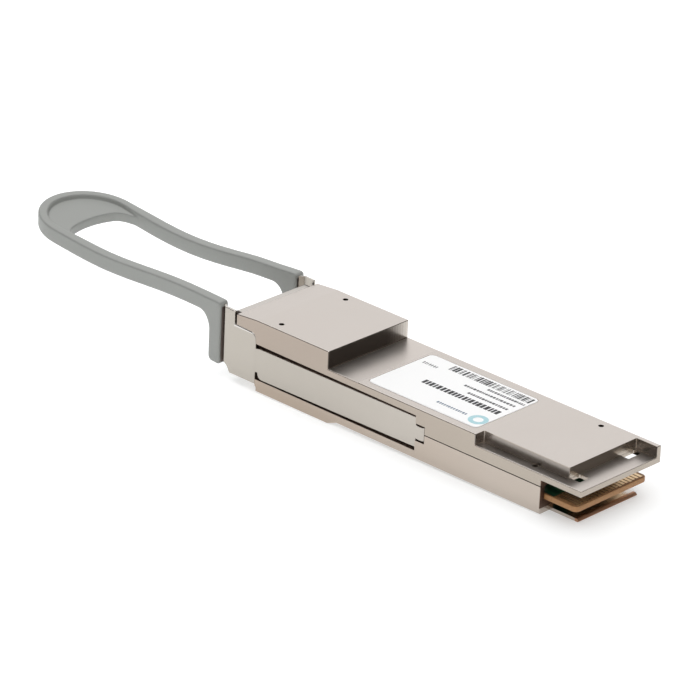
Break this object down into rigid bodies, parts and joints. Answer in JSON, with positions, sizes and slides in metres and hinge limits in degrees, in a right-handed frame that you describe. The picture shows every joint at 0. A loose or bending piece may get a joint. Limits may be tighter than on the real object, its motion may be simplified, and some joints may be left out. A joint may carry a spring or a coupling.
{
  "type": "optical transceiver module",
  "caption": "Slim plated-metal pluggable fibre module with a raised nose, duplex optical port, card-edge tongue, side latch arms and a grey bowed pull tab.",
  "frame": {"origin": "middle of the whole footprint, level with the underside of the foot below the nose", "axes": "+X towards the electrical card edge, +Z out of the labelled face, +Y across the width"},
  "size_m": [0.1244, 0.0194, 0.0135],
  "materials": {
    "nickel_zinc": "satin nickel plate on die-cast zinc",
    "port_metal": "satin nickel plate",
    "bright_steel": "turned stainless steel",
    "zirconia": "polished white ceramic",
    "gold_plate": "gold plated header",
    "amber_film": "amber flexible circuit",
    "dark_rubber": "conductive elastomer",
    "spring_steel": "spring steel",
    "circuit_board": "dark green solder mask, tan bare laminate at the edges",
    "gold_contact": "hard gold over nickel",
    "chip_epoxy": "black moulded epoxy",
    "pad_silicone": "soft filled silicone",
    "ferrite": "pressed ferrite",
    "ceramic_tan": "ceramic capacitor body",
    "screw_steel": "zinc plated steel",
    "label_film": null,
    "arm_steel": "satin stamped stainless steel",
    "tab_plastic": "grey moulded thermoplastic, fine texture"
  },
  "bodies": {
    "module": {"upper_cover": "nickel_zinc", "lower_cover": "nickel_zinc", "port_block": "port_metal", "optical_body_left": "bright_steel", "optical_body_right": "bright_steel", "ferrule_sleeve_left": "zirconia", "ferrule_sleeve_right": "zirconia", "laser_can_left": "gold_plate", "laser_can_right": "gold_plate", "detector_can_left": "gold_plate", "detector_can_right": "gold_plate", "laser_flex_left": "amber_film", "laser_flex_right": "amber_film", "detector_flex_left": "amber_film", "detector_flex_right": "amber_film", "gasket_plate": "dark_rubber", "optics_clamp": "spring_steel", "main_card": "circuit_board", "contacts_top": "gold_contact", "contacts_bottom": "gold_contact", "retimer_chip": "chip_epoxy", "thermal_pad": "pad_silicone", "driver_chips": "chip_epoxy", "control_chip": "chip_epoxy", "regulator_chip": "chip_epoxy", "timing_crystal": "bright_steel", "power_inductors": "ferrite", "chip_capacitors": "ceramic_tan", "nose_screws": "screw_steel", "tail_screws": "screw_steel", "label": "label_film", "return_spring_left": "spring_steel", "return_spring_right": "spring_steel"},
    "latch_slider": {"pull_tab": "tab_plastic", "latch_arm_left": "arm_steel", "latch_arm_right": "arm_steel"}
  },
  "joints": [
    {"name": "latch_pull", "type": "slide", "parent": "module", "child": "latch_slider", "axis": [-1, 0, 0], "range_m": [0, 0.0022], "stiffness_N_per_m": 900, "springref_m": -0.0012, "deforming": ["return_spring_left", "return_spring_right"]}
  ]
}
